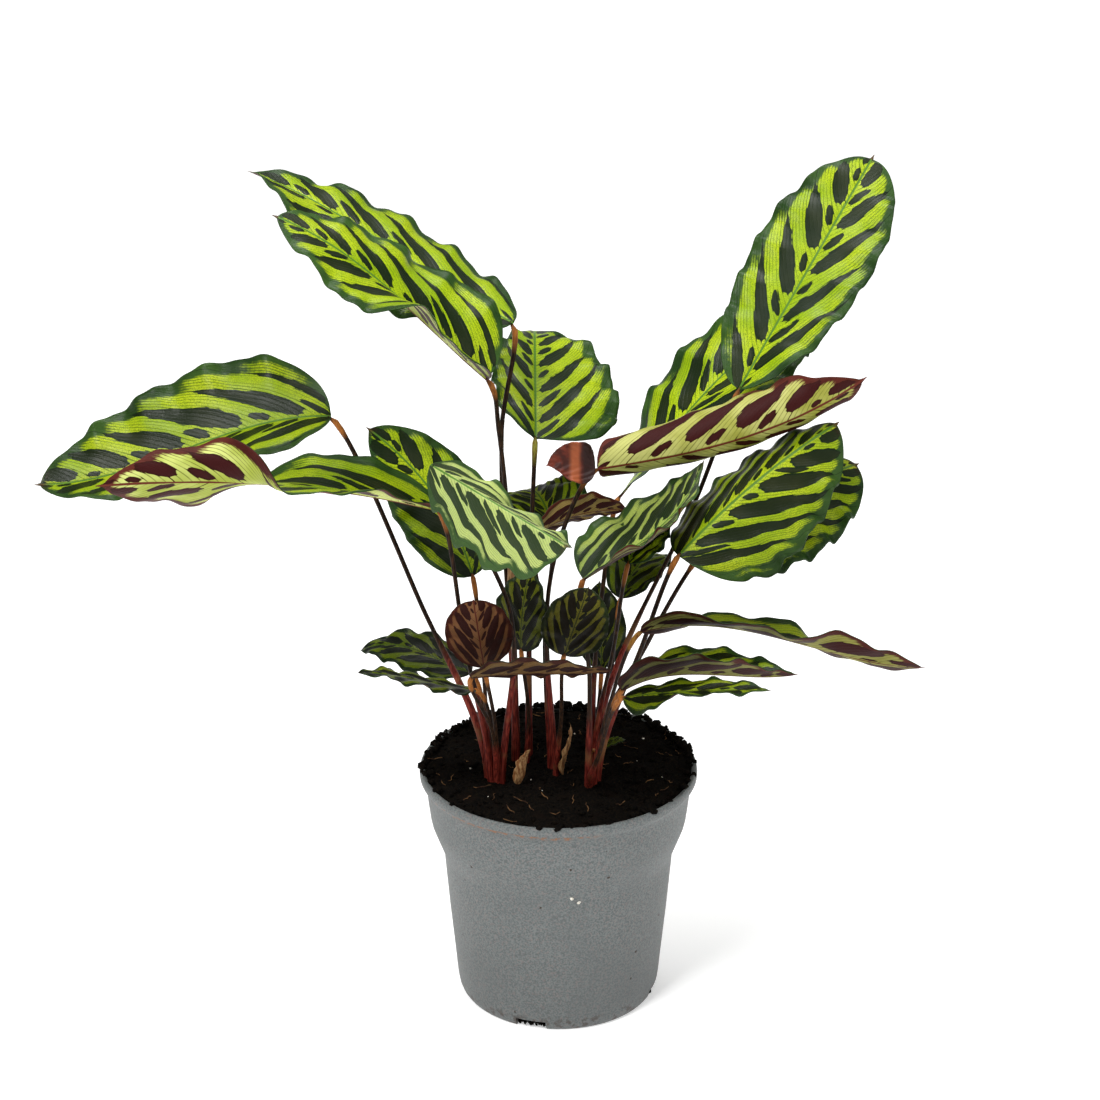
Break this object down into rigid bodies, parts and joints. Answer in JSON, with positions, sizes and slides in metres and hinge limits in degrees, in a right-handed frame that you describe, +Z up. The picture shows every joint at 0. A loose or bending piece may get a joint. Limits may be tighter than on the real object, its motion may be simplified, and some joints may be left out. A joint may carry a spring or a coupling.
{
  "type": "potted calathea",
  "caption": "Peacock plant with patterned oval leaves on thin stalks, growing in a filled round nursery pot that stands on its flat base.",
  "frame": {"origin": "middle of the pot's underside, on the surface it stands on", "axes": "+Z up, -Y towards the side the picture shows, +X to the picture's right"},
  "size_m": [0.3661, 0.2265, 0.3578],
  "materials": {
    "grey_plastic": "matte grey moulded plastic with fine speckle",
    "peat": "loose dark brown peat",
    "leaf": "waxy leaf, lime green with dark green blotches above and burgundy ones below",
    "stalk": "smooth dark red-brown stalk with maroon sheaths",
    "dry_scale": "dry papery tan scale"
  },
  "bodies": {
    "root": {"pot": "grey_plastic", "soil": "peat", "stalks_left": "stalk", "stalks_back_left": "stalk", "stalks_middle": "stalk", "stalks_right": "stalk", "stalks_front_right": "stalk", "blade_upper_left_back": "leaf", "blade_upper_left_front": "leaf", "blade_left_upper": "leaf", "blade_left_lower": "leaf", "blade_top_middle": "leaf", "blade_upper_right": "leaf", "blade_upper_right_back": "leaf", "blade_right_rolled": "leaf", "blade_right_front": "leaf", "blade_right_back": "leaf", "blade_middle_left": "leaf", "blade_middle_front_pale": "leaf", "blade_middle_right_folded": "leaf", "blade_middle_brown": "leaf", "blade_middle_back_left": "leaf", "blade_middle_back_right": "leaf", "blade_under_right": "leaf", "blade_inner_front": "leaf", "blade_inner_left": "leaf", "blade_inner_right": "leaf", "blade_inner_round": "leaf", "blade_low_left_back": "leaf", "blade_low_left_front": "leaf", "blade_low_front": "leaf", "blade_low_right_long": "leaf", "blade_low_right_back": "leaf", "blade_low_right_front": "leaf", "blade_soil_tip": "leaf", "lobe_right_rolled": "leaf", "scale_left": "dry_scale", "scale_middle": "dry_scale"}
  },
  "joints": []
}
